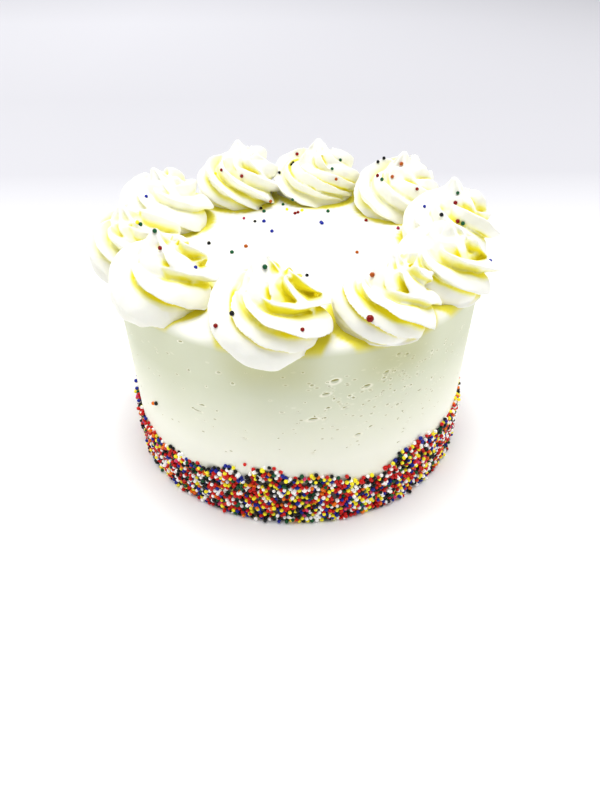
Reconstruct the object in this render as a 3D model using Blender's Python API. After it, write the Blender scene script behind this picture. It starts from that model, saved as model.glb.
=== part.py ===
# Round frosted cake with a ring of piped rosettes and a belt of fine round sprinkles.
# Lengths are in metres. The origin is the centre of the flat base, +Z is up, and -Y is the front.

import math
import random

import bmesh
import bpy
from mathutils import Euler, Vector

# Whole cake
BASE_RADIUS = 0.0765
TOP_RADIUS = 0.0775
CAKE_HEIGHT = 0.088
TOP_EDGE_ROUND = 0.004
BASE_EDGE_CHAMFER = 0.0008
BODY_COLUMNS = 96
EDGE_STEPS = 3
TOP_INNER_RADIUS = 0.040

# Belt of sprinkles round the foot of the wall
BELT_PROUD = 0.0008
BELT_HEIGHT = 0.0255
BELT_FRONT_RISE = 0.0026
BELT_STEP = 0.0012
BELT_WAVES = ((3, 0.0007), (7, 0.0008), (12, 0.0007), (19, 0.0005))

# Sprinkles fused to the solids: the largest of the many
SPRINKLE_DIAMETERS = (0.0021, 0.0024)
SPRINKLE_SINK = 0.0002
BELT_SPRINKLE_ROWS = 4
BELT_SPRINKLES_IN_ROW = 34
BELT_SPRINKLE_MARGIN = 0.0028
BELT_SPRINKLE_DRIFT = 0.0008
BELT_SPRINKLE_SPREAD = 0.2
BODY_SEED = 6
ROSETTE_SEED = 100
TOP_SPRINKLES = 12
TOP_SPRINKLE_REACH = 0.036
GOLDEN_ANGLE = math.radians(137.508)

# Rosettes
PIECE_GAP = 0.0003
CUTTER_DEPTH = 0.020
RIDGES = 6
COLUMNS_IN_RIDGE = (1.0, 0.90, 0.80, 0.92)
ROSETTE_WIDTH = 0.0415
ROSETTE_HEIGHT = 0.0270
RING_RADIUS = 0.0640
FIRST_ANGLE = -103.0
LEAN_POWER = 1.6

# From base to tip: height / rosette height, radius / half width, ridge depth share, turn in degrees
ROSETTE_ROWS = (
    (-0.165, 0.72, 0.45, 0.0),
    (-0.070, 0.93, 0.75, -12.0),
    (0.090, 1.00, 1.00, -36.0),
    (0.260, 0.95, 1.00, -66.0),
    (0.400, 0.80, 0.90, -96.0),
    (0.490, 0.66, 0.75, -118.0),
    (0.620, 0.62, 1.00, -146.0),
    (0.750, 0.47, 1.25, -174.0),
    (0.860, 0.28, 1.40, -198.0),
    (0.945, 0.12, 1.20, -214.0),
)

# Each rosette: turn off its even place, outward shift, width, height, ridge turn in degrees,
# and the lean of its tip along X and Y
ROSETTES = (
    (2.5, 0.0020, 1.02, 1.05, 48.0, (-0.0030, 0.0030)),
    (4.0, -0.0003, 1.00, 0.98, 12.0, (0.0030, 0.0020)),
    (0.5, 0.0000, 0.98, 1.00, 5.0, (0.0000, -0.0010)),
    (0.0, 0.0005, 0.97, 1.02, 33.0, (0.0010, 0.0015)),
    (0.5, 0.0010, 0.97, 0.98, 14.0, (0.0010, 0.0000)),
    (3.5, 0.0005, 1.00, 0.95, 44.0, (0.0000, 0.0010)),
    (3.0, 0.0010, 0.96, 1.00, 26.0, (0.0010, 0.0010)),
    (4.5, 0.0010, 0.98, 0.91, 8.0, (-0.0045, 0.0005)),
    (1.5, 0.0005, 0.97, 0.88, 37.0, (-0.0060, -0.0030)),
    (-1.5, 0.0005, 0.95, 1.00, 57.0, (-0.0010, 0.0010)),
)

# Sprinkles on a rosette: degrees from its outward direction, and share of its height
ROSETTE_SPRINKLE_PLACES = ((-34.0, 0.34), (24.0, 0.60), (150.0, 0.52))

BUTTERCREAM_COLOUR = (0.86, 0.86, 0.70, 1.0)
ROSETTE_COLOUR = (0.96, 0.95, 0.84, 1.0)


def clear_scene():
    for item in list(bpy.data.objects):
        bpy.data.objects.remove(item, do_unlink=True)


def frosting(name, colour, roughness):
    """Satin buttercream."""
    material = bpy.data.materials.new(name)
    material.use_nodes = True
    shader = material.node_tree.nodes["Principled BSDF"]
    shader.inputs["Base Color"].default_value = colour
    shader.inputs["Roughness"].default_value = roughness
    shader.inputs["Metallic"].default_value = 0.0
    return material


def add_object(name, bm, collection=None):
    """Turn a bmesh into an object with outward faces."""
    bmesh.ops.recalc_face_normals(bm, faces=bm.faces)
    mesh = bpy.data.meshes.new(name)
    bm.to_mesh(mesh)
    bm.free()
    item = bpy.data.objects.new(name, mesh)
    (collection or bpy.context.scene.collection).objects.link(item)
    return item


def loft(name, rings, tip=None):
    """Closed skin over rings of points, flat at the first ring, flat or pointed at the last."""
    bm = bmesh.new()
    loops = [[bm.verts.new(point) for point in ring] for ring in rings]
    count = len(loops[0])
    for low, high in zip(loops, loops[1:]):
        for i in range(count):
            j = (i + 1) % count
            bm.faces.new((low[i], low[j], high[j], high[i]))
    bm.faces.new(list(reversed(loops[0])))
    if tip is None:
        bm.faces.new(loops[-1])
    else:
        peak = bm.verts.new(tip)
        for i in range(count):
            bm.faces.new((loops[-1][i], loops[-1][(i + 1) % count], peak))
    bmesh.ops.triangulate(bm, faces=bm.faces, quad_method="SHORT_EDGE")
    return add_object(name, bm)


def apply_boolean(target, operation, solver, other=None, collection=None):
    """Join or cut the target, then drop what it was joined to or cut by."""
    modifier = target.modifiers.new(operation.lower(), "BOOLEAN")
    modifier.operation = operation
    modifier.solver = solver
    if collection is not None:
        modifier.operand_type = "COLLECTION"
        modifier.collection = collection
    else:
        modifier.object = other
    graph = bpy.context.evaluated_depsgraph_get()
    result = bpy.data.meshes.new_from_object(target.evaluated_get(graph))
    target.modifiers.clear()
    target.data = result
    for item in (list(collection.objects) if collection is not None else [other]):
        bpy.data.objects.remove(item, do_unlink=True)
    if collection is not None:
        bpy.data.collections.remove(collection)


def wall_radius(height):
    """The wall flares slightly from the base to the top."""
    return BASE_RADIUS + (TOP_RADIUS - BASE_RADIUS) * height / CAKE_HEIGHT


def belt_top(angle, phases):
    """Uneven upper edge of the belt, a little higher at the front."""
    front = math.cos(angle - math.radians(-90.0))
    height = BELT_HEIGHT + BELT_FRONT_RISE * front
    for (waves, size), phase in zip(BELT_WAVES, phases):
        height += size * math.sin(waves * angle + phase)
    return height


def circle(radius, height):
    """Ring of points at one height."""
    steps = [2.0 * math.pi * i / BODY_COLUMNS for i in range(BODY_COLUMNS)]
    return [Vector((radius * math.cos(a), radius * math.sin(a), height)) for a in steps]


def rounded_edge(grow=0.0):
    """Radius and height of each step over the cake's rounded top edge."""
    centre = TOP_RADIUS - TOP_EDGE_ROUND
    bend = TOP_EDGE_ROUND + grow
    steps = []
    for i in range(EDGE_STEPS + 1):
        a = 0.5 * math.pi * i / EDGE_STEPS
        radius = centre + bend * math.cos(a)
        steps.append((radius, CAKE_HEIGHT - TOP_EDGE_ROUND + bend * math.sin(a)))
    return steps


def belt_ring(drop, proud, phases):
    """Ring of points that follows the belt's upper edge."""
    ring = []
    for i in range(BODY_COLUMNS):
        a = 2.0 * math.pi * i / BODY_COLUMNS
        height = belt_top(a, phases) - drop
        radius = wall_radius(height) + proud
        ring.append(Vector((radius * math.cos(a), radius * math.sin(a), height)))
    return ring


def bare_body(phases):
    """Turned cake with a raised belt round its foot."""
    rings = [
        circle(BASE_RADIUS + BELT_PROUD - BASE_EDGE_CHAMFER, 0.0),
        circle(BASE_RADIUS + BELT_PROUD, BASE_EDGE_CHAMFER),
        belt_ring(BELT_STEP, BELT_PROUD, phases),
        belt_ring(0.0, 0.0, phases),
    ]
    rings += [circle(radius, height) for radius, height in rounded_edge()]
    rings.append(circle(TOP_INNER_RADIUS, CAKE_HEIGHT))
    return loft("cake_body", rings)


def sprinkle(place, draw, collection):
    """One round sprinkle, part sunk in what it lies on."""
    bm = bmesh.new()
    radius = 0.5 * draw.uniform(*SPRINKLE_DIAMETERS)
    bmesh.ops.create_icosphere(bm, subdivisions=1, radius=radius)
    turn = Euler([draw.uniform(0.0, math.pi) for _ in range(3)]).to_matrix()
    bmesh.ops.rotate(bm, verts=bm.verts, matrix=turn)
    bmesh.ops.translate(bm, verts=bm.verts, vec=place)
    add_object("sprinkle", bm, collection)


def new_collection(name):
    collection = bpy.data.collections.new(name)
    bpy.context.scene.collection.children.link(collection)
    return collection


def belt_sprinkle_places(phases, draw):
    """Staggered rows between the foot and the uneven upper edge."""
    pitch = 2.0 * math.pi / BELT_SPRINKLES_IN_ROW
    for row in range(BELT_SPRINKLE_ROWS):
        for i in range(BELT_SPRINKLES_IN_ROW):
            drift = draw.uniform(-BELT_SPRINKLE_SPREAD, BELT_SPRINKLE_SPREAD)
            a = pitch * (i + 0.5 * (row % 2) + drift)
            share = row / (BELT_SPRINKLE_ROWS - 1)
            room = belt_top(a, phases) - 2.0 * BELT_SPRINKLE_MARGIN
            height = BELT_SPRINKLE_MARGIN + share * room
            height += draw.uniform(-BELT_SPRINKLE_DRIFT, BELT_SPRINKLE_DRIFT)
            radius = wall_radius(height) + BELT_PROUD - SPRINKLE_SINK
            yield Vector((radius * math.cos(a), radius * math.sin(a), height))


def top_sprinkle_places():
    """Even spiral over the open middle of the top."""
    for i in range(TOP_SPRINKLES):
        reach = TOP_SPRINKLE_REACH * math.sqrt((i + 0.5) / TOP_SPRINKLES)
        a = GOLDEN_ANGLE * i
        yield Vector((reach * math.cos(a), reach * math.sin(a), CAKE_HEIGHT + SPRINKLE_SINK))


def make_body(material):
    draw = random.Random(BODY_SEED)
    phases = [draw.uniform(0.0, 2.0 * math.pi) for _ in BELT_WAVES]
    body = bare_body(phases)
    sprinkles = new_collection("body_sprinkles")
    for place in belt_sprinkle_places(phases, draw):
        sprinkle(place, draw, sprinkles)
    for place in top_sprinkle_places():
        sprinkle(place, draw, sprinkles)
    apply_boolean(body, "UNION", "MANIFOLD", collection=sprinkles)
    body.data.materials.clear()
    body.data.materials.append(material)
    return body


def rosette_centre(index):
    """Middle of a rosette's base, on the cake's top."""
    turn, outward = ROSETTES[index][:2]
    angle = math.radians(FIRST_ANGLE + 360.0 / len(ROSETTES) * index + turn)
    radius = RING_RADIUS + outward
    return Vector((radius * math.cos(angle), radius * math.sin(angle), CAKE_HEIGHT))


def press_against_neighbours(point, index):
    """Keep a point on its own side of the planes midway to the two next rosettes."""
    own = rosette_centre(index)
    for step in (-1, 1):
        other = rosette_centre((index + step) % len(ROSETTES))
        across = (other - own).normalized()
        past = (point - 0.5 * (own + other)).dot(across) + 0.5 * PIECE_GAP
        if past > 0.0:
            point = point - across * past
    return point


def rosette_point(index, row, ridge_share, angle):
    """A point of the swirl at a row, where ridge_share is 1 on a crest and less in a groove."""
    _, _, wide, tall, _, lean = ROSETTES[index]
    height, radius, depth, _ = row
    groove = 1.0 - depth * (1.0 - ridge_share)
    reach = 0.5 * ROSETTE_WIDTH * wide * radius * groove
    tilt = max(height, 0.0) ** LEAN_POWER
    x = reach * math.cos(angle) + lean[0] * tilt
    y = reach * math.sin(angle) + lean[1] * tilt
    place = rosette_centre(index) + Vector((x, y, ROSETTE_HEIGHT * tall * height))
    return press_against_neighbours(place, index)


def rosette_ring(index, row):
    """One row of a rosette: crests and grooves turned clockwise as they climb."""
    start = math.radians(ROSETTES[index][4] + row[3])
    count = RIDGES * len(COLUMNS_IN_RIDGE)
    ring = []
    for i in range(count):
        share = COLUMNS_IN_RIDGE[i % len(COLUMNS_IN_RIDGE)]
        ring.append(rosette_point(index, row, share, start + 2.0 * math.pi * i / count))
    return ring


def rosette_surface(index, angle, height):
    """Point on a crest at about this angle and share of the height."""
    low, high = next(p for p in zip(ROSETTE_ROWS, ROSETTE_ROWS[1:]) if p[1][0] >= height)
    share = (height - low[0]) / (high[0] - low[0])
    row = tuple(a + share * (b - a) for a, b in zip(low, high))
    start = math.radians(ROSETTES[index][4] + row[3])
    pitch = 2.0 * math.pi / RIDGES
    crest = start + pitch * round((angle - start) / pitch)
    return rosette_point(index, row, 1.0, crest)


def make_cutter():
    """The bare cake grown by the gap, which trims the rosettes where they rest and hang over."""
    rings = [circle(TOP_RADIUS + PIECE_GAP, CAKE_HEIGHT - CUTTER_DEPTH)]
    rings += [circle(radius, height) for radius, height in rounded_edge(PIECE_GAP)]
    cutter = loft("cutter", rings)
    cutter.hide_render = True
    cutter.display_type = "WIRE"
    return cutter


def make_rosette(index, material):
    tall, lean = ROSETTES[index][3], ROSETTES[index][5]
    tip = rosette_centre(index) + Vector((lean[0], lean[1], ROSETTE_HEIGHT * tall))
    rings = [rosette_ring(index, row) for row in ROSETTE_ROWS]
    rosette = loft(f"rosette_{index + 1:02d}", rings, tip)
    apply_boolean(rosette, "DIFFERENCE", "EXACT", other=make_cutter())
    sprinkles = new_collection("rosette_sprinkles")
    draw = random.Random(ROSETTE_SEED + index)
    outward = math.atan2(rosette_centre(index).y, rosette_centre(index).x)
    for turn, height in ROSETTE_SPRINKLE_PLACES:
        angle = outward + math.radians(turn)
        sprinkle(rosette_surface(index, angle, height), draw, sprinkles)
    apply_boolean(rosette, "UNION", "MANIFOLD", collection=sprinkles)
    rosette.data.materials.clear()
    rosette.data.materials.append(material)
    return rosette


def main():
    clear_scene()
    make_body(frosting("buttercream_wall", BUTTERCREAM_COLOUR, 0.5))
    piped = frosting("buttercream_rosette", ROSETTE_COLOUR, 0.45)
    for index in range(len(ROSETTES)):
        make_rosette(index, piped)


main()
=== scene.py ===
"""Frosted round cake with a ring of piped rosettes and fine round sprinkles, modelled in Blender."""

import math
import random
from collections import namedtuple

import bmesh
import bpy
import numpy as np
from mathutils import Euler, Matrix, Vector, noise
from mathutils.bvhtree import BVHTree


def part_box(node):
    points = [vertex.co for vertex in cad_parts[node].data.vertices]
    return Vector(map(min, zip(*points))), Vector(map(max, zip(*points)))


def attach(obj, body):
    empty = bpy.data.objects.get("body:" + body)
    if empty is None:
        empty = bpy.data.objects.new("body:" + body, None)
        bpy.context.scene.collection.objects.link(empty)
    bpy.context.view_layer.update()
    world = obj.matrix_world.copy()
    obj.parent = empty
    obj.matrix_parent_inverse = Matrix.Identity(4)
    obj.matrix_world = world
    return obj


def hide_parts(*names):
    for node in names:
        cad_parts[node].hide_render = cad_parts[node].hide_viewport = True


bl_info = {
    "name": "Piped Rosette Cake",
    "version": (1, 0, 0),
    "blender": (4, 5, 0),
    "location": "3D View > Sidebar > Cake",
    "description": "Frosts a round cake, pipes its rosettes and scatters its sprinkles",
    "category": "Add Mesh",
}

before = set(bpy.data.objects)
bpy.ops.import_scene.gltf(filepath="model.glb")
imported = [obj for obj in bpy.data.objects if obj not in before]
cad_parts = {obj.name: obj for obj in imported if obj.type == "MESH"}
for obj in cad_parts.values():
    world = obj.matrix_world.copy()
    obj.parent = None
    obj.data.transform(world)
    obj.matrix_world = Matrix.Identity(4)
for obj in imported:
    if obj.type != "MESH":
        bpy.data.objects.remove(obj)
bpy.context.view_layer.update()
BODY = "root"

# Places on the cake, in metres
FOOT_RADIUS = 0.0765
BRIM_RADIUS = 0.0775
CAKE_TOP = 0.088
EDGE_ROUND = 0.004
WALL_TOP = CAKE_TOP - 1.01 * EDGE_ROUND
TOP_RING = 0.002
ROSETTE_NODES = sorted(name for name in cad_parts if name.startswith("rosette"))

# Camera: size and focal length of the photo in pixels, its place, and its turn about X, Y and Z in degrees
PHOTO_SIZE = (600, 800)
PHOTO_FOCAL = 640.0
SENSOR_MM = 36.0
CAMERA_PLACE = Vector((-0.00314, -0.25482, 0.21048))
CAMERA_TURN = Euler([math.radians(angle) for angle in (50.9675, 0.0529, -0.976)])

# Piped rope from its start to its tip: turns made, distance of its middle from the axis and its height
# as shares of half the rosette's width and of its height, and its thickness as a share of half the width
OPEN_ROPE = (
    (0.00, 0.54, 0.18, 0.28),
    (0.10, 0.56, 0.24, 0.41),
    (0.25, 0.56, 0.26, 0.45),
    (0.50, 0.56, 0.27, 0.455),
    (0.75, 0.53, 0.30, 0.46),
    (0.95, 0.46, 0.36, 0.47),
    (1.10, 0.37, 0.42, 0.49),
    (1.22, 0.27, 0.48, 0.50),
    (1.31, 0.17, 0.54, 0.49),
    (1.36, 0.09, 0.60, 0.46),
    (1.39, 0.03, 0.68, 0.38),
    (1.40, -0.01, 0.77, 0.28),
    (1.40, -0.03, 0.87, 0.18),
    (1.40, -0.04, 0.95, 0.095),
    (1.40, -0.05, 1.00, 0.04),
)
CLOSE_ROPE = (
    (0.00, 0.38, 0.20, 0.40),
    (0.10, 0.41, 0.25, 0.54),
    (0.25, 0.43, 0.27, 0.585),
    (0.50, 0.43, 0.29, 0.59),
    (0.75, 0.40, 0.33, 0.58),
    (0.92, 0.35, 0.38, 0.57),
    (1.05, 0.29, 0.43, 0.56),
    (1.16, 0.22, 0.48, 0.54),
    (1.24, 0.14, 0.54, 0.50),
    (1.29, 0.08, 0.61, 0.45),
    (1.32, 0.04, 0.68, 0.39),
    (1.34, 0.02, 0.76, 0.31),
    (1.34, 0.01, 0.84, 0.22),
    (1.34, 0.00, 0.91, 0.14),
    (1.34, -0.01, 0.98, 0.06),
)
ROPE_STEPS_PER_ROW = 9

# Filling of a rosette, as shares of half its width and of its height: cone with the radii of its foot and
# head, length and middle, and mound with its half width, half height and middle
CORE_CONE = (0.76, 0.28, 0.80, 0.38)
CORE_MOUND = (0.62, 0.52, 0.20)

# Nozzle of unit radius: points round its mouth, radius in its grooves, sharpness of its teeth, unevenness
STAR_POINTS = 90
STAR_GROOVE = 0.40
STAR_EDGE = 0.75
STAR_UNEVEN = 0.8

# Each rosette: degrees at which its rope starts, ridge turn in degrees, lean of its tip along X and Y, how
# far its outer side droops, how closely it is coiled from 0 to 1, teeth of its nozzle, how far it spreads,
# degrees by which its ridges slant over, and shift of its middle along X and Y if there is one
Swirl = namedtuple(
    "Swirl", "start ridge_turn lean droop close teeth spread slant shift", defaults=((0.0, 0.0),)
)
SWIRLS = (
    Swirl(45.0, 30.0, (-0.0030, 0.0030), 0.0032, 0.4, 6, 1.09, 35.0, (0.0026, 0.0)),
    Swirl(55.0, 20.0, (0.0030, 0.0020), 0.0022, 0.3, 6, 1.09, 38.0),
    Swirl(75.0, 40.0, (0.0, -0.0010), 0.0025, 0.7, 5, 1.10, 30.0),
    Swirl(90.0, 30.0, (0.0010, 0.0015), 0.0030, 0.6, 7, 1.12, 10.0),
    Swirl(60.0, 0.0, (0.0010, 0.0), 0.0030, 0.6, 7, 1.14, -15.0),
    Swirl(30.0, 50.0, (0.0, 0.0010), 0.0030, 0.3, 7, 1.16, -30.0),
    Swirl(60.0, 40.0, (0.0010, 0.0010), 0.0030, 0.6, 6, 1.16, 0.0),
    Swirl(120.0, 10.0, (-0.0045, 0.0005), 0.0030, 0.6, 6, 1.14, 30.0),
    Swirl(35.0, 8.0, (-0.0060, -0.0030), 0.0035, 0.8, 6, 1.10, 10.0),
    Swirl(60.0, 10.0, (-0.0010, 0.0010), 0.0035, 0.4, 6, 1.09, 42.0),
)

# How the lean grows toward the tip, where round the brim the droop begins and ends, and depth of the seat
LEAN_POWER = 1.6
DROOP_FROM = -0.010
DROOP_TO = 0.007
SEAT_DEPTH = 0.0008

# Painted crevice shade: rounds of blurring, and how far off the surface a test ray starts
CREVICE_BLUR = 4
RAY_START = 0.0002

# How the ridges sway along the rope, in degrees, and how the cream is crumpled: size and waves per metre
RIDGE_SWAY = 12.0
CRUMPLE = 0.0007
CRUMPLE_SCALE = 160.0

# Painted crevice shade is stronger at the front than at the back and far left: places and strengths
CREVICE_SHADE_BY_DEPTH = ((-0.05, -0.02, 0.06), (1.14, 0.90, 0.74))
CREVICE_SHADE_BY_SIDE = ((-0.062, -0.048), (0.72, 1.0))

# Air-bubble pits: metres in one unit of their size, rise along their width, width of a fully deep one, and
# reach of their painted shade and highlight in half widths
PIT_SIZE = 0.0013
PIT_SLANT = 0.12
WIDE_PIT = 0.0024
PIT_REACH = 3.4

# Pits of the wall, by their pixels in the photo: across, down, width and height in units of pit size
WALL_PITS = (
    (335, 381, 2.6, 1.4), (326, 394, 2.4, 0.9), (312, 385, 1.2, 0.7), (334, 399, 0.8, 0.8),
    (367, 386, 2.4, 1.1), (387, 372, 1.7, 1.1), (384, 378, 1.3, 0.7), (391, 379, 0.8, 0.7),
    (313, 419, 3.0, 1.0), (325, 418, 1.0, 0.7), (358, 435, 2.2, 0.9), (328, 408, 1.5, 0.6),
    (372, 414, 1.1, 0.7), (388, 405, 1.2, 0.6), (371, 427, 1.6, 0.5), (350, 396, 1.2, 0.8),
    (354, 398, 1.0, 0.6), (399, 354, 1.5, 0.7), (407, 354, 1.4, 0.7), (395, 391, 1.0, 0.6),
    (405, 387, 0.9, 0.8), (411, 385, 0.9, 0.8), (398, 405, 1.3, 0.8), (420, 390, 1.3, 0.6),
    (432, 378, 1.0, 0.9), (432, 351, 1.0, 0.9), (399, 443, 1.4, 0.6), (403, 371, 0.9, 0.6),
    (395, 371, 1.0, 0.6), (219, 372, 1.4, 0.7), (233, 383, 1.1, 0.8), (189, 370, 1.0, 0.7),
    (207, 386, 0.8, 0.6), (202, 405, 2.2, 0.6), (199, 411, 2.4, 0.6), (193, 408, 1.2, 0.5),
    (217, 411, 0.9, 0.6), (282, 412, 1.2, 0.5), (226, 452, 0.9, 0.6), (181, 341, 1.6, 0.6),
    (245, 438, 1.6, 0.4), (283, 377, 0.9, 0.5), (303, 372, 0.8, 0.5), (345, 408, 1.6, 0.4),
)

# Single sprinkles on the top, the rosettes and the wall, by their pixels in the photo
LOOSE_SPRINKLES = {
    "red": (
        (222, 170), (242, 176), (297, 154), (378, 176), (417, 189), (455, 203), (458, 221), (295, 214),
        (298, 213), (216, 326), (302, 330), (161, 248), (366, 221), (245, 464), (370, 319), (227, 474),
    ),
    "blue": ((146, 197), (424, 207), (264, 222), (272, 232), (322, 224), (321, 223), (195, 268)),
    "black": (
        (279, 173), (390, 158), (291, 165), (293, 163), (442, 215), (261, 209), (255, 222), (209, 244),
        (307, 276), (232, 314), (157, 403), (384, 159), (378, 162),
    ),
    "green": (
        (340, 160), (332, 169), (458, 193), (463, 223), (293, 199), (264, 212), (283, 205), (328, 212),
        (232, 253), (265, 267), (382, 180), (140, 225), (155, 231),
    ),
    "orange": (
        (336, 179), (270, 201), (246, 247), (357, 253), (373, 275), (402, 164), (392, 177), (154, 403),
    ),
    "yellow": ((302, 211), (287, 210), (316, 296), (434, 180), (137, 223), (215, 174)),
    "pink": ((244, 219), (398, 229)),
}

# Sprinkles of the photo that aren't of the usual size, by their pixels, and how much larger they are
LARGE_SPRINKLES = {(227, 474): 2.3, (370, 319): 1.5, (157, 403): 1.1}

# Zones of pinprick pits, which are painted shade and highlight only: across and down in the photo's pixels,
# reach in metres and share of places taken
PIT_ZONES = (
    (410, 368, 0.010, 0.40),
    (432, 392, 0.008, 0.35),
    (355, 412, 0.007, 0.28),
    (345, 384, 0.010, 0.22),
    (385, 398, 0.012, 0.18),
    (320, 420, 0.007, 0.18),
    (300, 372, 0.012, 0.06),
)
TINY_PIT_SCALE = 460.0

# Pits elsewhere: least and most of their height on the wall, width and height
BACK_PIT_BOUNDS = ((0.036, 0.078), (0.0008, 0.0024), (0.0005, 0.0010))
FINE_PIT_BOUNDS = ((0.038, 0.078), (0.0006, 0.0012), (0.0004, 0.0006))

# Share of the fine pits that crowd at the front right, and the middle and spread of that crowd's angles
FINE_PIT_CROWD = 0.6
FINE_PIT_PLACE = (-1.0, 0.55)

# Rows of the wall: shares of its cuts and the heights where they come to lie, before the top one
ROW_SHARES = (0.0, 0.06, 0.97, 1.0)
ROW_HEIGHTS = (0.0, 0.027, 0.080)

# Upper edge of the sprinkle belt at the front, as the photo shows it: degrees round the cake, millimetres
BELT_EDGE = (
    (-155, 22), (-136, 23), (-120, 24), (-110, 29), (-107, 25), (-102, 32), (-96, 31), (-92, 27.5),
    (-87, 29), (-80, 27), (-72, 22), (-64, 21.5), (-60, 27), (-50, 31), (-40, 28), (-28, 28),
)
BELT_EDGE_FADE = (math.radians(-168.0), math.radians(-155.0), math.radians(-28.0), math.radians(-15.0))

# Waves of the belt's upper edge elsewhere: count round the cake, size and phase
BELT_HEIGHT = 0.0255
BELT_FRONT_RISE = 0.0026
BELT_WAVES = ((3, 0.0007, 1.1), (7, 0.0008, 2.6), (12, 0.0007, 0.4), (19, 0.0005, 4.0), (31, 0.0005, 5.2))

# Sprinkle colours: name, share of the belt, and linear colour
SPRINKLE_KINDS = (
    ("red", 0.27, (0.54, 0.006, 0.003)),
    ("white", 0.20, (0.99, 0.97, 0.93)),
    ("yellow", 0.12, (0.99, 0.76, 0.02)),
    ("black", 0.19, (0.0015, 0.0015, 0.003)),
    ("blue", 0.11, (0.006, 0.014, 0.24)),
    ("green", 0.06, (0.002, 0.070, 0.022)),
    ("orange", 0.04, (0.85, 0.16, 0.004)),
    ("pink", 0.01, (0.66, 0.04, 0.15)),
)
# Painted glow of every sugar pearl
SPRINKLE_PAINTED_GLOW = 0.12
BACK_SPRINKLES = 26

# Belt: height that its grid of pearls covers, spacing of its rows against that in a row, how far each pearl
# is shaken, and rounds of spreading
BELT_REACH = 0.034
ROW_SHARE = 0.866
SHAKE = 0.33
SPREAD_ROUNDS = 12

# How far the middles of the belt's pearls, and of those that lie on others, stand off the wall
BELT_RISE = (0.0001, 0.0011)
HEAP_RISE = (0.0013, 0.0019)

# Share of its radius by which a single pearl's middle stands clear of the cream
PEARL_RISE = 0.45

# Colours that the photo shows deeper on the cake's top than in the belt, painted darker there as shade, and
# their share of light there
SHADED_ON_TOP = {"red": 0.38, "orange": 0.45, "pink": 0.5}

# Heights between which the painted light low on the wall, the painted light on the top and the painted shade
# of the deeper sprinkle colours set in
FOOT_LIGHT_FADE = (0.068, 0.034)
TOP_LIGHT_FADE = (0.0845, 0.0878)
SHADED_ON_TOP_FADE = (0.045, 0.055)

# Fine grain of the cream: strength and depth
GRAIN_BUMP = (0.10, 0.0004)

# Shade of the rosettes on the wall: its strength, their foot's share of their width, and where it sets in
BELOW_SHADE_STRENGTH = 0.5
SWIRL_FOOT = 0.93
FRONT_FADE = (0.042, 0.058)
LEFT_FADE = (-0.05, 0.0)

# Sugar colours that stain the frosting between the sprinkles, near black with painted shade in the gaps
# between them
STAIN_AND_SHADE_DARK = (0.004, 0.001, 0.002)
STAIN_AND_SHADE_LIGHT = (0.03, 0.005, 0.005)
STAIN_AND_SHADE_FADE = (0.0013, 0.0026)

RANDOM_SEED = 20
SWIRL_SEED = 22

# Stage: places and sizes of the lights in metres, light of the room, and backdrop that the camera sees
TOP_LIGHT_PLACE = (0.0, 0.2, 3.0)
TOP_LIGHT_SIZE = 2.5
SIDE_LIGHT_AWAY = 1.2
SIDE_LIGHT_SIZE = 0.8
LIGHT_AIM = (0.0, 0.0, 0.05)
SKY_COLOUR = (0.97, 0.98, 1.0, 1.0)
BACKDROP_COLOUR = (0.86, 0.86, 0.88, 1.0)


def deselect_all():
    """Leave edit mode and select nothing."""
    if bpy.context.object and bpy.context.object.mode != "OBJECT":
        bpy.ops.object.mode_set(mode="OBJECT")
    bpy.ops.object.select_all(action="DESELECT")


def take(piece):
    """Make one object the selected and active one."""
    deselect_all()
    piece.select_set(True)
    bpy.context.view_layer.objects.active = piece


def apply_modifier(piece, kind, **values):
    """Add a modifier with these values and apply it."""
    take(piece)
    modifier = piece.modifiers.new(kind.lower(), kind)
    for name, value in values.items():
        setattr(modifier, name, value)
    bpy.ops.object.modifier_apply(modifier=modifier.name)


def points_of(mesh):
    """The mesh's points as rows of x, y, z."""
    flat = np.empty(len(mesh.vertices) * 3, np.float64)
    mesh.vertices.foreach_get("co", flat)
    return flat.reshape(-1, 3)


def put_points(mesh, points):
    """Move the mesh's points to these rows of x, y, z."""
    mesh.vertices.foreach_set("co", np.asarray(points, np.float64).ravel())
    mesh.update()


def finish_piece(piece, slot, *nodes):
    """Smooth the piece, seat it on the cake's body and hide the parts that it replaces."""
    take(piece)
    bpy.ops.object.shade_smooth()
    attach(piece, BODY)
    if nodes:
        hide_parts(*nodes)


def photo_ray(across, down):
    """Direction from the camera through a pixel of the photo."""
    x = (across - 0.5 * PHOTO_SIZE[0]) / PHOTO_FOCAL
    y = (0.5 * PHOTO_SIZE[1] - down) / PHOTO_FOCAL
    return (CAMERA_TURN.to_matrix() @ Vector((x, y, -1.0))).normalized()


def wall_radius(height):
    """The wall flares slightly from the foot to the brim."""
    return FOOT_RADIUS + (BRIM_RADIUS - FOOT_RADIUS) * height / CAKE_TOP


def smooth_step(value, low, high):
    """0 below low, 1 above high, and a smooth rise between."""
    share = np.clip((value - low) / (high - low), 0.0, 1.0)
    return share * share * (3.0 - 2.0 * share)


def past(angle, start):
    """How far an angle lies past another, from minus to plus half a turn."""
    return (angle - start + math.pi) % (2 * math.pi) - math.pi


def belt_top(angle):
    """Uneven upper edge of the sprinkle belt: as in the photo at the front, waves elsewhere."""
    angle = past(angle, 0.0)
    height = BELT_HEIGHT + BELT_FRONT_RISE * np.cos(angle + 0.5 * math.pi)
    for count, size, phase in BELT_WAVES:
        height = height + size * np.sin(count * angle + phase)
    turns, heights = zip(*BELT_EDGE)
    seen = np.interp(angle, np.radians(turns), heights) * 0.001
    left, left_full, right_full, right = BELT_EDGE_FADE
    front = smooth_step(angle, left, left_full) * smooth_step(-angle, -right, -right_full)
    return height + (seen - height) * front


# Materials


def new_material(name):
    """A material with only a Principled shader, its node tree and that shader."""
    material = bpy.data.materials.new(name)
    material.use_nodes = True
    return material, material.node_tree, material.node_tree.nodes["Principled BSDF"]


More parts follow.
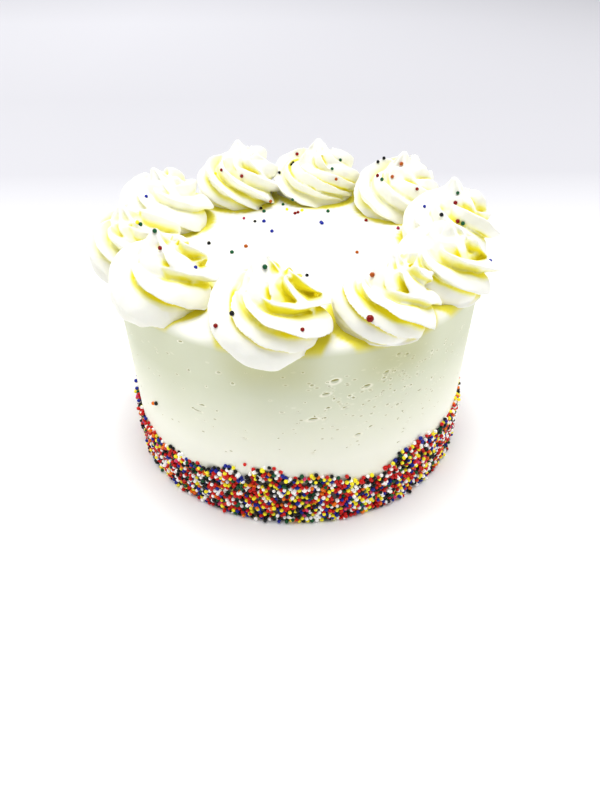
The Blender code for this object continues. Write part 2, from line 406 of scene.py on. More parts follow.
def add_node(tree, kind, **values):
    """Add a shader node and set its sockets or properties."""
    node = tree.nodes.new(kind)
    for name, value in values.items():
        if name in node.inputs:
            node.inputs[name].default_value = value
        else:
            setattr(node, name, value)
    return node


def link(source, target):
    """Join an output to an input."""
    target.id_data.links.new(source, target)


def stretched_place(tree, stretch):
    """The piece's own coordinates, stretched along its axes."""
    place = add_node(tree, "ShaderNodeTexCoord")
    mapping = add_node(tree, "ShaderNodeMapping", Scale=stretch)
    link(place.outputs["Object"], mapping.inputs["Vector"])
    return mapping.outputs["Vector"]


def object_noise(tree, scale, detail=4.0, stretch=(1.0, 1.0, 1.0)):
    """Noise on the piece's own coordinates, stretched along its axes."""
    speckle = add_node(tree, "ShaderNodeTexNoise", Scale=scale, Detail=detail)
    link(stretched_place(tree, stretch), speckle.inputs["Vector"])
    return speckle.outputs["Fac"]


def axes_of(tree, output="Object"):
    """X, Y and Z of the piece's own coordinates."""
    place = add_node(tree, "ShaderNodeTexCoord")
    split = add_node(tree, "ShaderNodeSeparateXYZ")
    link(place.outputs[output], split.inputs["Vector"])
    return split.outputs


def attribute(tree, name):
    """Value that the mesh keeps for each point."""
    return add_node(tree, "ShaderNodeAttribute", attribute_name=name).outputs["Fac"]


def mix_colours(factor, first, second):
    """Mix two colours or colour outputs by a factor output."""
    mix = add_node(factor.id_data, "ShaderNodeMix", data_type="RGBA")
    link(factor, mix.inputs["Factor"])
    for socket, value in ((mix.inputs["A"], first), (mix.inputs["B"], second)):
        if isinstance(value, bpy.types.NodeSocket):
            link(value, socket)
        else:
            socket.default_value = (*value, 1.0)
    return mix.outputs["Result"]


def ramp(source, low, high, bottom=0.0, top=1.0):
    """Stretch an output so that low becomes 0 and high becomes 1, or these bounds."""
    bounds = {"From Min": low, "From Max": high, "To Min": bottom, "To Max": top}
    stretch = add_node(source.id_data, "ShaderNodeMapRange", **bounds)
    link(source, stretch.inputs["Value"])
    return stretch.outputs["Result"]


def add_bump(shader, source, strength, distance):
    """Roughen the shader's surface by a height output."""
    bump = add_node(source.id_data, "ShaderNodeBump", Strength=strength, Distance=distance)
    link(source, bump.inputs["Height"])
    link(bump.outputs["Normal"], shader.inputs["Normal"])


def set_inputs(shader, **values):
    """Set the shader's inputs, named with _ for a space."""
    for name, value in values.items():
        shader.inputs[name.replace("_", " ")].default_value = value


def buttercream_settings(shader, roughness):
    """Soft sheen of buttercream, with a little light passing through it."""
    set_inputs(
        shader,
        Roughness=roughness,
        Specular_IOR_Level=0.35,
        Subsurface_Weight=0.12,
        Subsurface_Radius=(1.0, 0.9, 0.6),
        Subsurface_Scale=0.002,
    )


def product(first, second):
    """Multiply two outputs, or an output and a number."""
    node = add_node(first.id_data, "ShaderNodeMath", operation="MULTIPLY")
    for socket, value in zip(node.inputs, (first, second)):
        if isinstance(value, float):
            socket.default_value = value
        else:
            link(value, socket)
    return node.outputs["Value"]


def pit_distance(across, above, lift, squash):
    """Distance from a pit's middle in its own half widths, with the middle lifted and the shape squashed."""
    tree = across.id_data
    moved = add_node(tree, "ShaderNodeMath", operation="SUBTRACT")
    link(above, moved.inputs[0])
    moved.inputs[1].default_value = lift
    pair = add_node(tree, "ShaderNodeCombineXYZ")
    link(across, pair.inputs["X"])
    link(product(moved.outputs["Value"], squash), pair.inputs["Y"])
    length = add_node(tree, "ShaderNodeVectorMath", operation="LENGTH")
    link(pair.outputs["Vector"], length.inputs[0])
    return length.outputs["Value"]


def large_pits(tree):
    """Air-bubble pits: how deep in one a point is, for its painted shade, and how near its lower lip, for
    its painted highlight.
    """
    spot = add_node(tree, "ShaderNodeAttribute", attribute_name="pit_place")
    split = add_node(tree, "ShaderNodeSeparateXYZ")
    link(spot.outputs["Vector"], split.inputs["Vector"])
    across, above, share = (split.outputs[axis] for axis in "XYZ")
    inner = pit_distance(across, above, 0.25, 1.5)
    outer = pit_distance(across, above, -0.15, 0.9)
    pit_shade = product(ramp(inner, 1.05, 0.65), share)
    band = product(ramp(outer, 0.75, 1.0), ramp(outer, 1.8, 1.2))
    return pit_shade, product(band, share)


def tiny_pits(tree):
    """Pinprick pits drawn only in colour, thick in some zones: how deep in one a point is, for its painted
    shade, and how near its rim, for its painted highlight.
    """
    cells = add_node(tree, "ShaderNodeTexVoronoi", Scale=TINY_PIT_SCALE)
    link(stretched_place(tree, (0.8, 0.8, 1.6)), cells.inputs["Vector"])
    pick = add_node(tree, "ShaderNodeSeparateColor")
    link(cells.outputs["Color"], pick.inputs["Color"])
    chosen = add_node(tree, "ShaderNodeMath", operation="LESS_THAN")
    link(pick.outputs["Red"], chosen.inputs[0])
    link(attribute(tree, "pit_zone"), chosen.inputs[1])
    away, taken = cells.outputs["Distance"], chosen.outputs["Value"]
    tiny_pit_shade = product(ramp(away, 0.32, 0.14), taken)
    rim = product(ramp(away, 0.56, 0.34), taken)
    return product(tiny_pit_shade, 0.6), product(rim, 0.35)


def wall_material(settings):
    """Smoothed buttercream: ivory, slightly mottled, stained where the sprinkles sit, with painted shade in
    the stain's gaps, in the pits, below the rosettes and under their edges, painted highlights on the pits'
    lips and rims, and painted light low on the wall and on the top.
    """
    material, tree, shader = new_material("smoothed_buttercream")
    buttercream_settings(shader, 0.55)
    height = axes_of(tree)["Z"]
    pit_shade, lip = large_pits(tree)
    tiny_pit_shade, rim = tiny_pits(tree)
    mottle = ramp(object_noise(tree, 28.0, 3.0, (1.0, 1.0, 0.4)), 0.3, 0.7)
    cream = mix_colours(mottle, settings.wall_colour, settings.wall_shade)
    for factor, colour in (
        # Painted light low on the wall
        (ramp(height, *FOOT_LIGHT_FADE), settings.foot_light_colour),
        # Painted light on the top
        (ramp(height, *TOP_LIGHT_FADE), settings.top_light_colour),
        # Painted highlights on the pits' lips and rims, and painted shade deep in them
        (lip, settings.lip_highlight_colour),
        (pit_shade, settings.pit_shade_colour),
        (rim, settings.lip_highlight_colour),
        (tiny_pit_shade, settings.pit_shade_colour),
        # Painted shade below the rosettes
        (product(attribute(tree, "shade_below_swirl"), BELOW_SHADE_STRENGTH), settings.shade_colour),
        # Painted shade under the rosettes' edges
        (attribute(tree, "shade_under_swirl"), settings.contact_shade_colour),
    ):
        cream = mix_colours(factor, cream, colour)
    spots = ramp(object_noise(tree, 700.0, 2.0), 0.35, 0.65)
    # Sugar stain and painted shade between the sprinkles; sheen and subsurface are taken away there to
    # darken it
    stain = attribute(tree, "belt_stain_and_shade")
    tint = mix_colours(spots, STAIN_AND_SHADE_DARK, STAIN_AND_SHADE_LIGHT)
    link(mix_colours(stain, cream, tint), shader.inputs["Base Color"])
    for name in ("Specular IOR Level", "Subsurface Weight"):
        socket = shader.inputs[name]
        link(ramp(stain, 0.0, 1.0, socket.default_value, 0.0), socket)
    add_bump(shader, object_noise(tree, 900.0, 3.0, (0.4, 0.4, 1.0)), *GRAIN_BUMP)
    return material


def rosette_material(settings):
    """Piped buttercream: near white on its crests, with painted shade from pale to lemon yellow between its
    ridges and a painted glow deep in them.
    """
    material, tree, shader = new_material("piped_buttercream")
    buttercream_settings(shader, 0.5)
    # Painted shade: pale yellow between the ridges and lemon yellow deep in them, by how closed in each
    # point is
    depth = attribute(tree, "crevice")
    hollow_shade_mask = ramp(depth, 0.13, 0.40)
    deep = ramp(depth, 0.32, 0.56)
    pale = mix_colours(hollow_shade_mask, settings.crest_colour, settings.hollow_shade_colour)
    link(mix_colours(deep, pale, settings.crevice_shade_colour), shader.inputs["Base Color"])
    # Painted glow of the lemon yellow deep between the ridges
    shader.inputs["Emission Color"].default_value = (*settings.crevice_shade_colour, 1.0)
    link(product(deep, settings.crevice_painted_glow), shader.inputs["Emission Strength"])
    add_bump(shader, object_noise(tree, 1100.0), *GRAIN_BUMP)
    return material


def sprinkle_material(name, colour):
    """Sugar pearl: one colour, slightly paler and duller in patches, with a painted glow, and painted shade
    on the top for some colours.
    """
    material, tree, shader = new_material(f"sugar_{name}")
    # Painted glow, halved for the colours darker on the top
    glow = SPRINKLE_PAINTED_GLOW * (0.5 if name in SHADED_ON_TOP else 1.0)
    set_inputs(shader, Roughness=0.22, Specular_IOR_Level=0.22)
    set_inputs(shader, Emission_Color=(*colour, 1.0), Emission_Strength=glow)
    patches = object_noise(tree, 600.0, 2.0)
    pale = tuple(min(1.0, c * 1.35 + 0.01) for c in colour)
    tint = mix_colours(patches, colour, pale)
    # Painted shade: these colours are darker on the cake's top
    if name in SHADED_ON_TOP:
        on_top = ramp(axes_of(tree)["Z"], *SHADED_ON_TOP_FADE)
        tint = mix_colours(on_top, tint, tuple(c * SHADED_ON_TOP[name] for c in colour))
    link(tint, shader.inputs["Base Color"])
    add_bump(shader, patches, 0.15, 0.0002)
    return material


def sweep_material(settings):
    """Matt paper with a very faint mottle, a little duller behind the cake with painted shade."""
    material, tree, shader = new_material("pale_sweep")
    set_inputs(shader, Roughness=0.8, Specular_IOR_Level=0.1)
    axes = axes_of(tree)
    # Painted shade: duller behind the cake, toward the far end and toward the right
    far = mix_colours(ramp(axes["Y"], 0.60, 1.15), settings.far_shade_colour, settings.end_shade_colour)
    far = mix_colours(ramp(axes["X"], -0.3, 0.7), far, settings.right_shade_colour)
    duller = [0.99 * c for c in settings.floor_colour]
    near = mix_colours(object_noise(tree, 3.0), settings.floor_colour, duller)
    far_shade_mask = ramp(axes["Y"], 0.05, 0.34)
    link(mix_colours(far_shade_mask, near, far), shader.inputs["Base Color"])
    return material


# Cake body


def turned_cake(settings):
    """A cylinder with a rounded brim, cut into a fine grid."""
    deselect_all()
    bpy.ops.mesh.primitive_cylinder_add(
        vertices=settings.columns, radius=BRIM_RADIUS, depth=CAKE_TOP, location=(0, 0, 0.5 * CAKE_TOP)
    )
    piece = bpy.context.object
    piece.name = "cake_frosting"
    bpy.ops.object.transform_apply(location=True)
    bpy.ops.object.mode_set(mode="EDIT")
    select_where(piece, "EDGE", lambda edge: min(end.co.z for end in edge.verts) > 0.99 * CAKE_TOP)
    bpy.ops.mesh.bevel(offset=EDGE_ROUND, segments=5, profile=0.5)
    select_where(piece, "EDGE", lambda edge: abs(edge.verts[0].co.z - edge.verts[1].co.z) > 0.5 * CAKE_TOP)
    bpy.ops.mesh.subdivide(number_cuts=settings.wall_rows)
    select_where(piece, "FACE", lambda face: face.normal.z > 0.99 and face.calc_center_median().z > WALL_TOP)
    for _ in range(settings.top_rings):
        bpy.ops.mesh.inset(thickness=TOP_RING)
    bpy.ops.mesh.poke()
    bpy.ops.mesh.select_all(action="SELECT")
    bpy.ops.mesh.normals_make_consistent(inside=False)
    bpy.ops.object.mode_set(mode="OBJECT")
    return piece


def select_where(piece, kind, wanted):
    """Select the edges or faces that pass a test."""
    bpy.ops.mesh.select_mode(type=kind)
    bpy.ops.mesh.select_all(action="DESELECT")
    work = bmesh.from_edit_mesh(piece.data)
    for item in work.edges if kind == "EDGE" else work.faces:
        if wanted(item):
            item.select = True
    work.select_flush_mode()
    bmesh.update_edit_mesh(piece.data)


def wall_place(across, down):
    """Angle and height where a pixel of the photo meets the wall."""
    ray = photo_ray(across, down)
    radius = wall_radius(0.5 * CAKE_TOP)
    a = ray.x**2 + ray.y**2
    b = CAMERA_PLACE.x * ray.x + CAMERA_PLACE.y * ray.y
    c = CAMERA_PLACE.x**2 + CAMERA_PLACE.y**2 - radius**2
    point = CAMERA_PLACE + ray * ((-b - math.sqrt(b * b - a * c)) / a)
    return math.atan2(point.y, point.x), point.z


def pit_list(settings, draw):
    """Angle, height, width and height of every pit: those of the photo, then as many elsewhere."""
    pits = []
    for across, down, wide, high in WALL_PITS:
        angle, height = wall_place(across, down)
        pits.append((angle, height, wide * PIT_SIZE, high * PIT_SIZE))
    for _ in range(settings.back_pits):
        angle = draw.uniform(0.02, math.pi - 0.02)
        pits.append((angle, *(draw.uniform(*bounds) for bounds in BACK_PIT_BOUNDS)))
    for _ in range(settings.fine_pits):
        in_crowd = draw.random() < FINE_PIT_CROWD
        angle = draw.gauss(*FINE_PIT_PLACE) if in_crowd else draw.uniform(-math.pi, math.pi)
        pits.append((angle, *(draw.uniform(*bounds) for bounds in FINE_PIT_BOUNDS)))
    return pits


def crowd_rows(height):
    """Crowd the wall's rows where its pits are, and leave few behind the sprinkles."""
    share = height / (CAKE_TOP - EDGE_ROUND)
    return np.interp(share, ROW_SHARES, (*ROW_HEIGHTS, CAKE_TOP - EDGE_ROUND))


def press_pits(settings, angle, height, on_wall):
    """Depth of the pits at each point, and its place in the nearest pit with that pit's strength."""
    depth, nearest = np.zeros(len(angle)), np.full(len(angle), 9.0)
    place = np.zeros((len(angle), 3))
    for pit_angle, pit_height, wide, high in pit_list(settings, random.Random(RANDOM_SEED)):
        along = past(angle, pit_angle) * BRIM_RADIUS / (0.5 * wide)
        above = (height - pit_height - PIT_SLANT * along * 0.5 * wide) / (0.5 * high)
        away = np.hypot(along, above)
        size = 0.6 + 0.4 * min(1.0, wide / WIDE_PIT)
        depth = np.maximum(depth, np.exp(-(away**3)) * size)
        share = size * smooth_step(PIT_REACH - away, 0.0, 1.2) * on_wall
        closer = away < nearest
        place[closer] = np.stack((along, above, share), axis=1)[closer]
        nearest = np.minimum(nearest, away)
    return depth, place


def shape_frosting(piece, settings):
    """Flare the wall, wave it slightly, press the pits in and mark where the cream is stained and where
    shade and highlights are painted on it.
    """
    points = points_of(piece.data)
    radius = np.hypot(points[:, 0], points[:, 1])
    angle = np.arctan2(points[:, 1], points[:, 0])
    height = points[:, 2]
    height[:] = np.where(height < WALL_TOP, crowd_rows(height), height)
    on_wall = smooth_step(radius, BRIM_RADIUS - 1.5 * EDGE_ROUND, BRIM_RADIUS - 0.2 * EDGE_ROUND)
    flare = (BRIM_RADIUS - FOOT_RADIUS) * (1.0 - height / CAKE_TOP)
    wave = 0.00022 * np.sin(3 * angle + 1.0) + 0.00012 * np.sin(8 * angle + 40 * height)
    wave = wave + 0.00010 * np.sin(23 * angle + 1.7 * np.sin(70 * height))
    depth, place = press_pits(settings, angle, height, on_wall)
    push = (wave - flare) * on_wall
    push -= settings.pit_depth * depth * on_wall
    scale = np.where(radius > 1e-6, (radius + push) / np.maximum(radius, 1e-6), 1.0)
    points[:, :2] *= scale[:, None]
    top = smooth_step(height, CAKE_TOP - 0.0005, CAKE_TOP) * (1.0 - on_wall)
    points[:, 2] += 0.0003 * top * np.sin(60 * points[:, 0] + 1.0) * np.cos(45 * points[:, 1])
    put_points(piece.data, points)
    # Sugar stain and painted shade under the belt of sprinkles
    stain = smooth_step(belt_top(angle) - height, *STAIN_AND_SHADE_FADE) * (radius > 0.07) * settings.belt_stain_and_shade
    near, below = swirl_shade_masks(points)
    write_attribute(piece.data, "belt_stain_and_shade", stain)
    write_attribute(piece.data, "shade_under_swirl", near)
    write_attribute(piece.data, "shade_below_swirl", below * on_wall)
    write_attribute(piece.data, "pit_zone", pit_zones(settings, angle, height) * on_wall)
    layer = piece.data.attributes.new("pit_place", "FLOAT_VECTOR", "POINT")
    layer.data.foreach_set("vector", place.astype(np.float32).ravel())


def swirl_room(index):
    """Middle of a rosette, half its width and its height above the cake, from its node and settings."""
    low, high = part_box(ROSETTE_NODES[index])
    centre = 0.5 * (low + high) + Vector((*SWIRLS[index].shift, 0.0))
    return centre, 0.25 * (high.x - low.x + high.y - low.y) * SWIRLS[index].spread, high.z - CAKE_TOP


def swirl_shade_masks(points):
    """Masks of painted shade: how close each point is under a rosette's edge, and how far in the shade below
    a front one.
    """
    height = points[:, 2]
    near, below = np.zeros(len(points)), np.zeros(len(points))
    for index in range(len(ROSETTE_NODES)):
        centre, half_width, _ = swirl_room(index)
        reach = half_width * SWIRL_FOOT
        away = np.hypot(points[:, 0] - centre.x, points[:, 1] - centre.y)
        # Painted shade on the top under a rosette's edge
        edge = smooth_step(reach + 0.0010 - away, 0.0, 0.0015)
        near = np.maximum(near, edge * smooth_step(height, CAKE_TOP - 0.004, CAKE_TOP - 0.001))
        # Painted shade on the wall below the front rosettes, weaker toward the left
        hang = smooth_step(reach + 0.004 - away, 0.0, 0.012)
        hang *= smooth_step(-centre.y, *FRONT_FADE) * (0.35 + 0.65 * smooth_step(centre.x, *LEFT_FADE))
        below = np.maximum(below, hang * smooth_step(height, CAKE_TOP - 0.024, CAKE_TOP - 0.008))
    return near, below


def pit_zones(settings, angle, height):
    """Share of places with a pinprick pit at each point."""
    zone = np.full(len(angle), settings.tiny_pits)
    for across, down, reach, share in PIT_ZONES:
        zone_angle, zone_height = wall_place(across, down)
        along = past(angle, zone_angle) * BRIM_RADIUS
        away = (along**2 + (height - zone_height) ** 2) / reach**2
        zone += share * np.exp(-away)
    return zone * smooth_step(height, 0.032, 0.040) * smooth_step(-height, -0.082, -0.078)


def write_attribute(mesh, name, values):
    """Keep one value for each point under a name."""
    layer = mesh.attributes.new(name, "FLOAT", "POINT")
    layer.data.foreach_set("value", np.asarray(values, np.float32))


# Rosettes


def smooth_rows(rows, steps):
    """Every column of the rows with even steps put between them along a smooth curve."""
    slopes = np.gradient(rows, axis=0)
    at = np.linspace(0.0, len(rows) - 1.0, (len(rows) - 1) * steps + 1)
    index = np.minimum(at.astype(int), len(rows) - 2)
    t = (at - index)[:, None]
    low, high = rows[index], rows[index + 1]
    curve = (2 * t**3 - 3 * t**2 + 1) * low + (t**3 - 2 * t**2 + t) * slopes[index]
    curve += (-2 * t**3 + 3 * t**2) * high + (t**3 - t**2) * slopes[index + 1]
    return curve.T


def star_outline(teeth, slant, draw):
    """Mouth of an open star nozzle: sharp teeth with sharp grooves between."""
    deselect_all()
    bpy.ops.mesh.primitive_circle_add(vertices=STAR_POINTS, radius=1.0)
    star = bpy.context.object
    star.name = "star_nozzle"
    points = points_of(star.data)
    angle = np.arctan2(points[:, 1], points[:, 0])
    crest = 1.0 - np.arcsin(np.abs(np.sin(0.5 * teeth * angle))) / (0.5 * math.pi)
    reach = np.array([1.0 - STAR_UNEVEN * draw.uniform(-0.1, 0.3) for _ in range(teeth)])
    reach = reach[np.rint(teeth * angle / (2 * math.pi)).astype(int) % teeth]
    radius = STAR_GROOVE + (reach - STAR_GROOVE) * crest**STAR_EDGE
    angle += STAR_UNEVEN * 0.4 * np.sin(angle + draw.uniform(0.0, 2 * math.pi))
    angle += math.radians(slant) * crest
    points[:, 0] = radius * np.cos(angle)
    points[:, 1] = radius * np.sin(angle)
    put_points(star.data, points)
    bpy.ops.object.convert(target="CURVE")
    return bpy.context.object


def rope_path(name, swirl, centre, half_width, tall):
    """Path that the nozzle follows, clockwise seen from above, rising and closing in, then pulled up."""
    rows = (1.0 - swirl.close) * np.array(OPEN_ROPE) + swirl.close * np.array(CLOSE_ROPE)
    turns, reach, height, thick = smooth_rows(rows, ROPE_STEPS_PER_ROW)
    angle = math.radians(swirl.start) - 2.0 * math.pi * turns
    x = centre.x + reach * half_width * np.cos(angle)
    y = centre.y + reach * half_width * np.sin(angle)
    heading = np.unwrap(np.arctan2(np.gradient(y), np.gradient(x)))
    curve = bpy.data.curves.new(name, "CURVE")
    curve.dimensions = "3D"
    curve.twist_mode = "Z_UP"
    spline = curve.splines.new("POLY")
    spline.points.add(len(x) - 1)
    for i, point in enumerate(spline.points):
        point.co = (x[i], y[i], CAKE_TOP + height[i] * tall, 1.0)
        point.radius = thick[i] * half_width
        sway = RIDGE_SWAY * math.sin(9.0 * turns[i] + swirl.start)
        point.tilt = math.radians(swirl.ridge_turn + sway) - heading[i]
    piece = bpy.data.objects.new(name, curve)
    bpy.context.scene.collection.objects.link(piece)
    return piece


def pipe_rope(path, star):
    """Push the star along the spiral and make it a mesh."""
    path.data.bevel_mode = "OBJECT"
    path.data.bevel_object = star
    path.data.use_fill_caps = True
    take(path)
    bpy.ops.object.convert(target="MESH")
    rope = bpy.context.object
    bpy.data.objects.remove(star, do_unlink=True)
    return rope


def add_core(rope, centre, half_width, tall):
    """Fill the middle of the spiral with a cone and a low mound, so that no hole is left in it."""
    foot, head, length, middle = CORE_CONE
    deselect_all()
    bpy.ops.mesh.primitive_cone_add(
        vertices=32,
        radius1=foot * half_width,
        radius2=head * half_width,
        depth=length * tall,
        location=(centre.x, centre.y, CAKE_TOP + middle * tall),
    )
    cone = bpy.context.object
    wide, high, middle = CORE_MOUND
    place = (centre.x, centre.y, CAKE_TOP + middle * tall)
    bpy.ops.mesh.primitive_uv_sphere_add(segments=32, ring_count=16, radius=1.0, location=place)
    mound = bpy.context.object
    mound.scale = (wide * half_width, wide * half_width, high * tall)
    bpy.ops.object.transform_apply(location=False, rotation=False, scale=True)
    cone.select_set(True)
    rope.select_set(True)
    bpy.context.view_layer.objects.active = rope
    bpy.ops.object.join()


def drop_crumbs(piece):
    """Keep only the largest loose part, since remeshing leaves crumbs one grain wide."""
    name = piece.name
    take(piece)
    bpy.ops.object.mode_set(mode="EDIT")
    bpy.ops.mesh.select_all(action="SELECT")
    bpy.ops.mesh.separate(type="LOOSE")
    bpy.ops.object.mode_set(mode="OBJECT")
    parts = list(bpy.context.selected_objects)
    whole = max(parts, key=lambda part: len(part.data.vertices))
    for part in parts:
        if part != whole:
            bpy.data.objects.remove(part, do_unlink=True)
    whole.name = name
    return whole


def settle(piece, swirl, tall):
    """Lean the tip, droop the outer side over the brim, and set the base on the cake's top."""
    points = points_of(piece.data)
    noise.seed_set(SWIRL_SEED)
    points += CRUMPLE * np.array([noise.noise_vector(Vector(p) * CRUMPLE_SCALE) for p in points])
    rise = np.clip((points[:, 2] - CAKE_TOP) / tall, 0.0, 1.0)
    points[:, 0] += swirl.lean[0] * rise**LEAN_POWER
    points[:, 1] += swirl.lean[1] * rise**LEAN_POWER
    radius = np.hypot(points[:, 0], points[:, 1])
    over = smooth_step(radius, BRIM_RADIUS + DROOP_FROM, BRIM_RADIUS + DROOP_TO)
    points[:, 2] -= swirl.droop * over * (1.0 - 0.75 * rise)
    seat = CAKE_TOP - SEAT_DEPTH
    inside = radius < BRIM_RADIUS - 0.5 * EDGE_ROUND
    points[:, 2] = np.where(inside, np.maximum(points[:, 2], seat), points[:, 2])
    put_points(piece.data, points)


def occlusion(piece, reach, rays, draw):
    """How closed in each point is: 0 in the open, 1 deep in a crevice."""
    mesh = piece.data
    points = points_of(mesh)
    normals = np.empty(len(points) * 3)
    mesh.vertices.foreach_get("normal", normals)
    normals = normals.reshape(-1, 3)
    tree = BVHTree.FromPolygons([tuple(p) for p in points], [tuple(f.vertices) for f in mesh.polygons])
    directions = []
    while len(directions) < rays:
        ray = Vector([draw.uniform(-1, 1) for _ in range(3)])
        if 0.05 < ray.length < 1.0:
            directions.append(ray.normalized())
    shade = np.zeros(len(points))
    for i, (point, normal) in enumerate(zip(points, normals)):
        n = Vector(normal)
        start = Vector(point) + n * RAY_START
        closed = 0.0
        for ray in directions:
            way = (ray + n * 1.02).normalized()
            distance = tree.ray_cast(start, way, reach)[3]
            if distance is not None:
                closed += 1.0 - 0.5 * distance / reach
        shade[i] = closed / rays
    edges = np.empty(len(mesh.edges) * 2, np.int64)
    mesh.edges.foreach_get("vertices", edges)
    ends = edges.reshape(-1, 2)
    count = np.bincount(edges, minlength=len(points))
    for _ in range(CREVICE_BLUR):
        total = np.bincount(ends[:, 0], shade[ends[:, 1]], len(points))
        total += np.bincount(ends[:, 1], shade[ends[:, 0]], len(points))
        shade = 0.5 * shade + 0.5 * total / np.maximum(count, 1)
    return shade


def swirl_name(index):
    """Name of a rosette's piece, counted from 1."""
    return f"swirl_{index + 1:02d}"


def pipe_rosette(index, settings, material):
    """One piped swirl on its place in the ring."""
    node, swirl, name = ROSETTE_NODES[index], SWIRLS[index], swirl_name(index)
    centre, half_width, tall = swirl_room(index)
    path = rope_path(name, swirl, centre, half_width, tall)
    piece = pipe_rope(path, star_outline(swirl.teeth, swirl.slant, random.Random(SWIRL_SEED + index)))
    piece.name = name
    add_core(piece, centre, half_width, tall)
    voxel = settings.grain * 1.0
    apply_modifier(piece, "REMESH", mode="VOXEL", voxel_size=voxel, adaptivity=0.0)
    piece = drop_crumbs(piece)
    apply_modifier(piece, "SMOOTH", factor=0.5, iterations=settings.smoothing)
    settle(piece, swirl, tall)
    draw = random.Random(RANDOM_SEED + index)
    shade = occlusion(piece, settings.crevice_reach, settings.crevice_rays, draw)
    # Painted crevice shade, stronger at the front than at the back and far left
    strength = np.interp(centre.y, *CREVICE_SHADE_BY_DEPTH) * np.interp(centre.x, *CREVICE_SHADE_BY_SIDE)
    write_attribute(piece.data, "crevice", shade * strength)
    piece.data.materials.clear()
    piece.data.materials.append(material)
    finish_piece(piece, "buttercream_rosette", node)


# Sprinkles


def pearl_mesh():
    """Points and faces of one small round pearl of unit radius."""
    deselect_all()
    bpy.ops.mesh.primitive_uv_sphere_add(segments=8, ring_count=6, radius=1.0)
    pearl = bpy.context.object
    points = points_of(pearl.data)
    faces = [tuple(f.vertices) for f in pearl.data.polygons]
    bpy.data.objects.remove(pearl, do_unlink=True)
    return points, faces


def turned(points, draw):
    """The points turned any way."""
    turn = Matrix.Rotation(draw.uniform(0, 2 * math.pi), 3, "Z")
    turn = turn @ Matrix.Rotation(draw.uniform(0, math.pi), 3, "X")
    return points @ np.array(turn).T


def build_pearls(name, places, material, slot, draw):
    """One piece that holds every pearl of one colour."""
    shape, faces = pearl_mesh()
    all_points, all_faces = [], []
    for place, radius in places:
        start = len(all_points) * len(shape)
        all_points.append(turned(shape, draw) * radius + np.array(place))
        all_faces += [tuple(v + start for v in face) for face in faces]
    mesh = bpy.data.meshes.new(name)
    mesh.from_pydata(np.concatenate(all_points).tolist(), [], all_faces)
    piece = bpy.data.objects.new(name, mesh)
    bpy.context.scene.collection.objects.link(piece)
    mesh.materials.append(material)
    finish_piece(piece, slot)


def belt_places(settings, draw):
    """Angle and height of each pearl in the belt: a close grid, shaken, then spread until none crowd."""
    girth = 2.0 * math.pi * (FOOT_RADIUS + 0.0007)
    pitch = settings.pearl * settings.belt_pitch
    row_pitch = pitch * ROW_SHARE
    columns = int(girth / pitch)
    places = []
    for row in range(int(BELT_REACH / row_pitch)):
        for column in range(columns):
            across = (column + 0.5 * (row % 2) + draw.uniform(-SHAKE, SHAKE)) * girth / columns
            height = settings.pearl * 0.5 + (row + draw.uniform(-SHAKE, SHAKE)) * row_pitch
            places.append((across, max(height, settings.pearl * 0.45)))
    places = spread_out(np.array(places), girth, settings.pearl * 0.97)
    below_edge = belt_top(places[:, 0] / girth * 2.0 * math.pi) - places[:, 1]
    thinning = np.array([draw.random() for _ in places])
    keep = (below_edge > 0.0010) | ((below_edge > -0.0006) & (thinning < 0.45))
    keep &= places[:, 1] > 0.4 * settings.pearl
    keep &= thinning > settings.belt_gaps
    return places[keep], girth


def spread_out(places, girth, least):
    """Push crowded neighbours apart over a few rounds."""
    for _ in range(SPREAD_ROUNDS):
        grid = {}
        for i, (across, height) in enumerate(places):
            grid.setdefault((int(across // least), int(height // least)), []).append(i)
        moves = np.zeros_like(places)
        for (a, b), members in grid.items():
            near = [j for da in (-1, 0, 1) for db in (-1, 0, 1) for j in grid.get((a + da, b + db), ())]
            for i in members:
                for j in near:
                    if j == i:
                        continue
                    gap = places[i] - places[j]
                    away = math.hypot(gap[0], gap[1])
                    if 1e-7 < away < least:
                        moves[i] += gap / away * (least - away) * 0.5
        places = places + moves * 0.8
        places[:, 1] = np.maximum(places[:, 1], 0.45 * least)
    places[:, 0] %= girth
    return places


def pick_kind(draw):
    """Name of a colour, drawn by its share."""
    pick = draw.random() * sum(share for _, share, _ in SPRINKLE_KINDS)
    for name, share, _ in SPRINKLE_KINDS:
        pick -= share
        if pick <= 0.0:
            return name
    return SPRINKLE_KINDS[0][0]


def belt_pearls(settings):
    """Place and radius of each pearl in the belt, by colour."""
    draw = random.Random(RANDOM_SEED)
    places, girth = belt_places(settings, draw)
    by_kind = {name: [] for name, _, _ in SPRINKLE_KINDS}
    for _ in range(int(settings.belt_heaped * len(places))):
        across, height = draw.choice(places)
        angle = across / girth * 2.0 * math.pi + draw.uniform(-0.01, 0.01)
        height = max(height + draw.uniform(-0.0008, 0.0004), 0.0010)
        out = wall_radius(height) + draw.uniform(*HEAP_RISE)
        place = (out * math.cos(angle), out * math.sin(angle), height)
        by_kind[pick_kind(draw)].append((place, 0.5 * settings.pearl * draw.uniform(0.75, 1.0)))
    for across, height in places:
        angle = across / girth * 2.0 * math.pi
        size = draw.uniform(0.82, 1.04) if draw.random() > 0.03 else draw.uniform(1.15, 1.3)
        radius = 0.5 * settings.pearl * size
        out = wall_radius(height) + draw.uniform(*BELT_RISE)
        place = (out * math.cos(angle), out * math.sin(angle), max(height, radius + 0.0001))
        by_kind[pick_kind(draw)].append((place, radius))
    return by_kind


